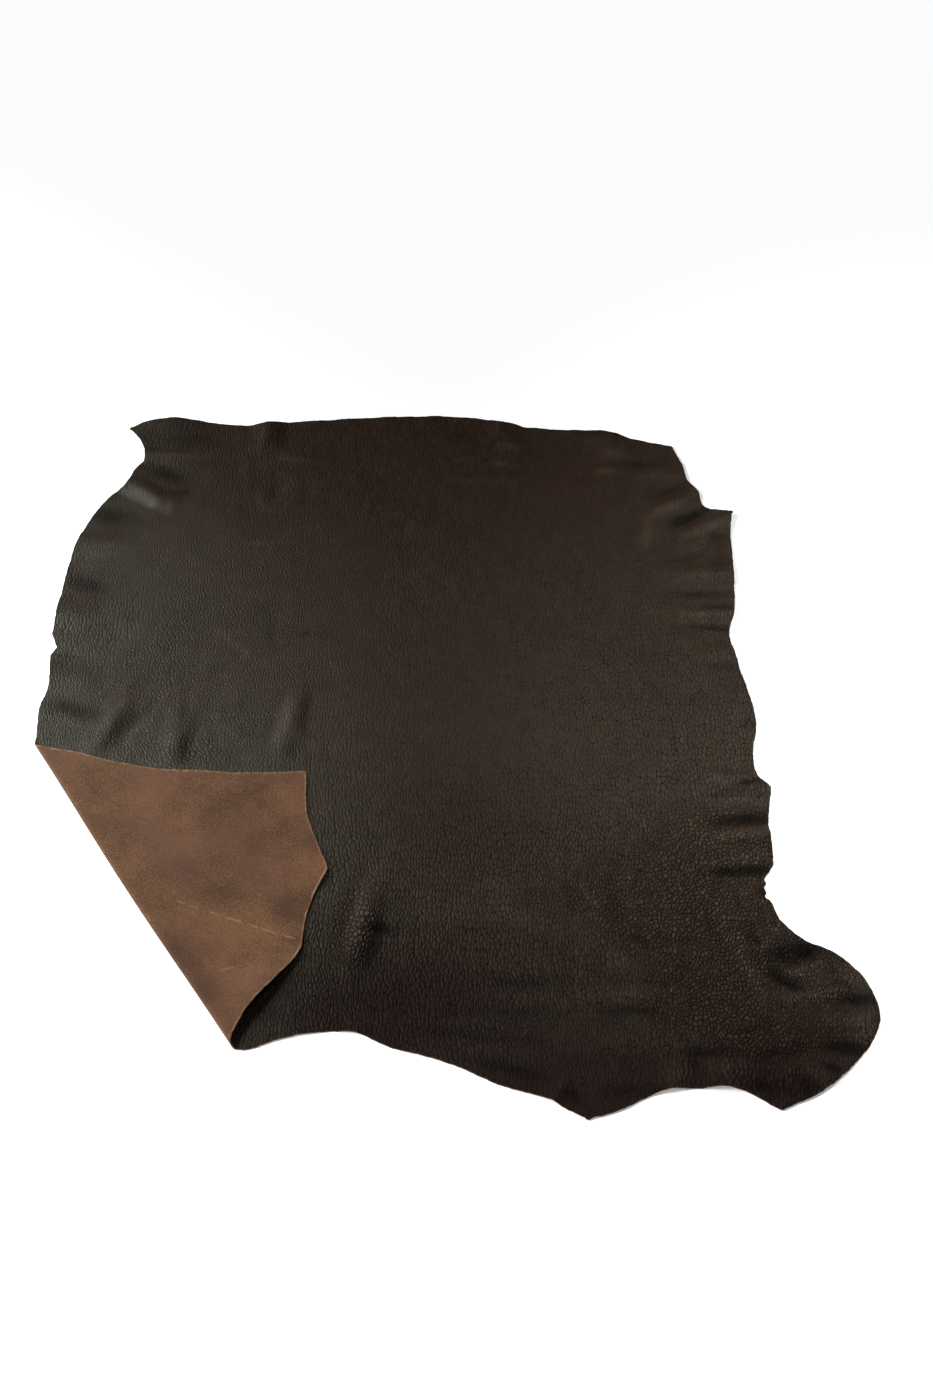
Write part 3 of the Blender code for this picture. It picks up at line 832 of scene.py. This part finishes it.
class Finish:  # a material, with short ways to add nodes to it
    def __init__(self, name):
        self.material = bpy.data.materials.new(name)
        self.material.use_nodes = True
        self.tree = self.material.node_tree

    def fill(self, node, sockets):  # joins what comes from other nodes, and sets the rest
        for socket, value in sockets.items():
            if isinstance(value, bpy.types.NodeSocket):
                self.tree.links.new(value, node.inputs[socket])
            else:
                node.inputs[socket].default_value = value

    def surface(self, sockets):
        self.fill(self.tree.nodes["Principled BSDF"], sockets)
        return self.material

    def add(self, kind, sockets, output=0, **settings):
        node = self.tree.nodes.new(kind)
        for setting, value in settings.items():
            setattr(node, setting, value)
        self.fill(node, sockets)
        return node.outputs[output]

    def attribute(self, name, output="Fac"):
        return self.add("ShaderNodeAttribute", {}, output, attribute_name=name)

    def mapping(self, vector, stretch, turn=0.0):
        rotation = (0, 0, math.radians(turn))
        return self.add("ShaderNodeMapping", {"Vector": vector, "Scale": (1.0, stretch, 1.0), "Rotation": rotation})

    def noise(self, vector, scale, detail, roughness=0.5, output="Fac"):
        sockets = {"Vector": vector, "Scale": scale, "Detail": detail, "Roughness": roughness}
        return self.add("ShaderNodeTexNoise", sockets, output)

    def cells(self, vector, size):  # distance to the cell's edge, a tone for each cell, and how far sideways
        sockets = {"Vector": vector, "Scale": 1000 / size}
        edge = self.add("ShaderNodeTexVoronoi", sockets, "Distance", feature="DISTANCE_TO_EDGE",
                        voronoi_dimensions="2D")
        tone = self.add("ShaderNodeTexVoronoi", sockets, "Color", feature="F1", voronoi_dimensions="2D")
        away = self.vector("SUBTRACT", vector, tone.node.outputs["Position"])
        sideways = self.add("ShaderNodeSeparateXYZ", {0: self.vector("NORMALIZE", away)}, "X")
        return edge, tone, self.math("ABSOLUTE", sideways)

    def vector(self, operation, first, second=(0.0, 0.0, 0.0)):
        return self.add("ShaderNodeVectorMath", {0: first, 1: second}, operation=operation)

    def math(self, operation, first, second=0.0, clamp=False):
        return self.add("ShaderNodeMath", {0: first, 1: second}, operation=operation, use_clamp=clamp)

    def times(self, first, second, clamp=False):
        return self.math("MULTIPLY", first, second, clamp)

    def plus(self, first, second):
        return self.math("ADD", first, second)

    def minus(self, first, second):
        return self.math("SUBTRACT", first, second)

    def span(self, value, low, high, toLow=0.0, toHigh=1.0, smooth=True):
        sockets = {"Value": value, "From Min": low, "From Max": high, "To Min": toLow, "To Max": toHigh}
        return self.add("ShaderNodeMapRange", sockets, interpolation_type="SMOOTHSTEP" if smooth else "LINEAR")

    def blend(self, share, first, second):  # numbers are mixed by sockets 2 and 3, colours by 6 and 7
        return self.add("ShaderNodeMix", {0: share, 2: first, 3: second})

    def colour(self, share, first, second, way="MIX"):
        return self.add("ShaderNodeMix", {0: share, 6: first, 7: second}, 2, data_type="RGBA", blend_type=way)

    def shade(self, colour, amount):  # darker or lighter by the amount
        return self.colour(1.0, colour, amount, "MULTIPLY")

    def warp(self, vector, scale, reach):  # pulled this way and that, by up to half the reach
        colour = self.noise(vector, scale, 2.0, output="Color")
        centred = self.vector("SUBTRACT", colour, (0.5, 0.5, 0.5))
        return self.vector("ADD", vector, self.vector("MULTIPLY", centred, (reach * mm,) * 3))

    def bump(self, height, depth):
        return self.add("ShaderNodeBump", {"Height": height, "Distance": depth * mm})


def makeGrainLeather():
    grain = grainFinish
    finish = Finish("grainLeather")
    place = finish.attribute("cutPlace", "Vector")
    depth = finish.attribute("grainDeep")
    uneven = finish.minus(finish.noise(place, *grain["patchNoise"]), 0.5)
    pebbleMix = finish.span(finish.plus(finish.attribute("pebbleShare"), uneven), *grain["pebbleSpan"])
    scaleMix = finish.span(finish.plus(finish.attribute("scaleShare"), uneven), *grain["scaleSpan"])
    warped = finish.warp(finish.attribute("grainPlace", "Vector"), *grain["bendWarp"])
    warped = finish.warp(warped, *grain["frayWarp"])

    # Wrinkles are long cells with weak ends, pebbles are rounder, and scales are pebbles with open cracks.
    layers = []
    for kind in (grain["wrinkles"], grain["pebbles"], grain["scales"]):
        edge, tone, sideways = finish.cells(finish.mapping(warped, kind["stretch"]), kind["size"])
        sides = finish.span(sideways, *grain["sideSpan"], kind["ends"], 1.0)
        line = finish.times(finish.span(edge, 0.0, kind["line"], 1.0, 0.0), sides)
        dome = finish.minus(1.0, finish.times(finish.span(edge, 0.0, grain["domeEdge"], 1.0, 0.0), sides))
        layers.append({"dome": dome, "line": line, "tone": tone, "depth": kind["depth"]})

    def mixed(what, mix=finish.blend):  # by which kind of grain each place has
        wrinkle, pebble, scale = [layer[what] for layer in layers]
        return mix(scaleMix, mix(pebbleMix, wrinkle, pebble), scale)

    tones = finish.add("ShaderNodeSeparateColor", {0: mixed("tone", finish.colour)})
    pores = finish.times(finish.noise(place, *grain["poreNoise"]), grain["poreDepth"])
    height = finish.plus(finish.times(finish.times(mixed("dome"), mixed("depth")), depth), pores)

    # The grooves between the pebbles are painted darker, partly dyed and partly painted shade, and random patches
    # and cells are rubbed lighter.
    fading = finish.span(finish.noise(place, *grain["fadeNoise"]), *grain["fadeSpan"], smooth=False)
    dark = finish.times(finish.times(mixed("line"), fading), depth)
    dark = finish.times(dark, grain["lineDark"], clamp=True)
    rubbed = finish.span(finish.noise(place, *grain["rubNoise"]), *grain["rubSpan"])
    rubbed = finish.plus(rubbed, finish.span(tones, *grain["rubCellSpan"]))
    colour = finish.colour(dark, finish.colour(rubbed, grain["brown"], grain["worn"]), grain["deep"])
    # Where the grain is painted darker: partly dyed, partly painted shade towards the bottom edge and around the
    # turned corner's lower end.
    shadeAndDyeMask = finish.attribute("shadeAndDye")
    colour = finish.colour(shadeAndDyeMask, colour, finish.colour(dark, grain["plum"], grain["deep"]))
    mottle = finish.noise(finish.mapping(warped, grain["mottleStretch"]), *grain["mottleNoise"])
    mottle = finish.span(mottle, *grain["mottleSpan"], smooth=False)
    # Painted highlights and painted shade along the folds' streaks, with a random mottle; they tint both the colour
    # and the sheen.
    tone = finish.plus(finish.attribute("foldLightAndShade"), mottle)

    rough = finish.span(finish.noise(place, *grain["roughNoise"]), *grain["roughSpan"])
    rough = finish.minus(rough, finish.times(finish.attribute("polish"), grain["polishDepth"]))
    rough = finish.plus(rough, finish.span(tones, *grain["roughCellSpan"]))

    # The sheen takes painted shade too: less in the grooves and where the grain is painted darker, and lighter or
    # darker along the streaks.
    sheen = finish.times(tone, finish.span(dark, 0.0, 1.0, 1.0, grain["lineSheen"], smooth=False))
    sheen = finish.times(sheen, finish.span(shadeAndDyeMask, 0.0, 1.0, 1.0, grain["shadeAndDyeSheen"], smooth=False))
    return finish.surface({
        "Base Color": finish.shade(colour, tone),
        "Roughness": rough,
        "Specular IOR Level": grain["specular"],
        "Specular Tint": finish.shade(grain["sheenTint"], sheen),
        "Normal": finish.bump(height, 1.0),
    })


def makeScratch(finish, laid, fromX, fromY, toX, toY, halfWidth, bright):  # a straight line, broken into dashes
    turn = -math.atan2(toY - fromY, toX - fromX)
    length = math.hypot(toX - fromX, toY - fromY) * mm
    startX = (fromX * math.cos(turn) - fromY * math.sin(turn)) * mm
    startY = (fromX * math.sin(turn) + fromY * math.cos(turn)) * mm
    sockets = {"Vector": laid, "Rotation": (0, 0, turn), "Location": (-startX, -startY, 0)}
    along = finish.add("ShaderNodeSeparateXYZ", {0: finish.add("ShaderNodeMapping", sockets)}, "X")
    aside = finish.math("ABSOLUTE", along.node.outputs["Y"])
    line = finish.span(aside, 0.0, halfWidth * 2 * mm, bright, 0.0)
    end = fleshFinish["scratchEnd"] * mm
    inside = finish.times(finish.span(along, 0.0, end), finish.span(along, length - end, length, 1.0, 0.0))
    dashes = finish.span(finish.noise(laid, *fleshFinish["dashNoise"]), *fleshFinish["dashSpan"])
    return finish.times(finish.times(line, inside), dashes)


def makeFleshSuede():
    flesh = fleshFinish
    finish = Finish("fleshSuede")
    place = finish.attribute("cutPlace", "Vector")
    warped = finish.warp(place, *flesh["driftWarp"])
    clouds = finish.noise(warped, *flesh["cloudNoise"])
    brushed = finish.noise(finish.mapping(warped, flesh["brushStretch"], flesh["brushTurn"]), *flesh["brushNoise"])
    nap = finish.noise(place, *flesh["napNoise"])

    shade = finish.plus(clouds, finish.times(finish.minus(brushed, 0.5), flesh["brushShare"]))
    shade = finish.plus(shade, finish.times(finish.attribute("fleshTone"), flesh["toneShare"]))
    shade = finish.plus(shade, finish.times(finish.minus(nap, 0.5), flesh["napShare"]))
    colour = finish.colour(finish.span(shade, *flesh["shadeSpan"], smooth=False), flesh["dark"], flesh["light"])
    blush = finish.span(finish.noise(warped, *flesh["blushNoise"]), *flesh["blushSpan"])
    colour = finish.colour(blush, colour, flesh["rosy"])
    # Paler along the cut: partly the raw edge's lighter fibres, partly a painted highlight where the edge catches
    # the light.
    colour = finish.colour(finish.span(finish.attribute("edgeNear"), *flesh["rimHighlightSpan"]), colour, flesh["scratch"])
    laid = finish.attribute("laidPlace", "Vector")
    for row in fleshScratches:
        colour = finish.colour(makeScratch(finish, laid, *row), colour, flesh["scratch"])

    height = finish.plus(nap, finish.times(brushed, flesh["brushHeight"]))
    height = finish.plus(height, finish.times(clouds, flesh["cloudHeight"]))
    return finish.surface({
        "Base Color": colour,
        "Roughness": flesh["roughness"],
        "Specular IOR Level": flesh["specular"],
        "Sheen Weight": flesh["sheen"],
        "Sheen Roughness": flesh["sheenRoughness"],
        "Sheen Tint": flesh["sheenTint"],
        "Normal": finish.bump(height, flesh["napDepth"]),
    })


def makeCutLeather():
    cut = cutFinish
    finish = Finish("cutLeather")
    place = finish.attribute("cutPlace", "Vector")
    fibres = finish.noise(place, *cut["fibreNoise"])
    patches = finish.noise(place, *cut["patchNoise"])
    share = finish.plus(finish.times(fibres, cut["fibreShare"]), finish.times(patches, cut["patchShare"]))
    return finish.surface({
        "Base Color": finish.colour(finish.span(share, *cut["shadeSpan"]), cut["dark"], cut["light"]),
        "Roughness": cut["roughness"],
        "Specular IOR Level": cut["specular"],
        "Normal": finish.bump(fibres, cut["fibreDepth"]),
    })


skin = makeSkin()
for material in (makeGrainLeather(), makeFleshSuede(), makeCutLeather()):
    skin.data.materials.append(material)
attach(skin, "root")
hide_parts("leather_hide")
print("skin laid and finished")


# The studio. Places are in metres, angles in degrees.
studio = {
    "floorColour": (0.95, 0.95, 0.95, 1),
    "floorReach": 9.0,
    "floorGlow": 0.3,
    "worldColour": (1, 1, 1, 1),
    "worldStrength": 0.05,
    "mainFrom": (-1.0, 0.05, 0.62),
    "mainSoftness": 22.0,
    "mainStrength": 3.9,
    "leftSize": (0.6, 1.2),
    "leftPlace": (-1.55, 0.95, 1.8),
    "leftAim": (-0.72, 0.09, 0.0),
    "leftSpread": 30.0,
    "leftPower": 5.3,
    "leftColour": (0.9, 1.11, 1.19),
    "rightSize": (0.6, 0.8),
    "rightPlace": (1.3, 0.95, 1.8),
    "rightAim": (0.5, -0.11, 0.0),
    "rightSpread": 30.0,
    "rightPower": 2.65,
    "rightColour": (1, 1, 1),
}


def faceAlong(light, heading):
    light.rotation_euler = heading.to_track_quat("-Z", "Y").to_euler()


def softBox(side):  # a soft box with a grid, so that its light stays on its own side
    data = bpy.data.lights.new(side + "Box", "AREA")
    data.shape = "RECTANGLE"
    data.size, data.size_y = studio[side + "Size"]
    data.spread = math.radians(studio[side + "Spread"])
    data.energy = studio[side + "Power"]
    data.color = studio[side + "Colour"]
    light = addObject(side + "Box", data)
    light.location = studio[side + "Place"]
    faceAlong(light, Vector(studio[side + "Aim"]) - light.location)


def mainLight():  # wide and even, from the left and above
    data = bpy.data.lights.new("mainLight", "SUN")
    data.energy = studio["mainStrength"]
    data.angle = math.radians(studio["mainSoftness"])
    faceAlong(addObject("mainLight", data), -Vector(studio["mainFrom"]))


def makeFloor():
    mesh = bpy.data.meshes.new("floor")
    far = studio["floorReach"]
    mesh.from_pydata([(-far, -far, 0), (far, -far, 0), (far, far, 0), (-far, far, 0)], [], [(0, 1, 2, 3)])
    mesh.materials.append(Finish("paleFloor").surface({
        "Base Color": studio["floorColour"],
        "Emission Color": (1, 1, 1, 1),
        "Emission Strength": studio["floorGlow"],
        "Roughness": 1.0,
        "Specular IOR Level": 0.0,
    }))
    floor = addObject("floor", mesh)


makeFloor()
mainLight()
softBox("left")
softBox("right")

world = bpy.data.worlds.new("studioWorld")
world.use_nodes = True
background = world.node_tree.nodes["Background"]
background.inputs["Color"].default_value = studio["worldColour"]
background.inputs["Strength"].default_value = studio["worldStrength"]
bpy.context.scene.world = world
bpy.context.scene.view_settings.view_transform = "Standard"
print("studio lit")

# The camera stands in front of the tail end and looks down at 50 degrees.
lookout = {"height": 1.6, "pitch": 50.0, "aim": (0.0335, 0.024), "lens": 50.0, "sensor": 36.0}
cameraData = bpy.data.cameras.new("lookout")
cameraData.lens = lookout["lens"]
cameraData.sensor_width = lookout["sensor"]
camera = addObject("lookout", cameraData)
standOff = lookout["height"] / math.tan(math.radians(lookout["pitch"]))
camera.location = (lookout["aim"][0], lookout["aim"][1] - standOff, lookout["height"])
camera.rotation_euler = (math.radians(90 - lookout["pitch"]), 0, 0)
bpy.context.scene.camera = camera
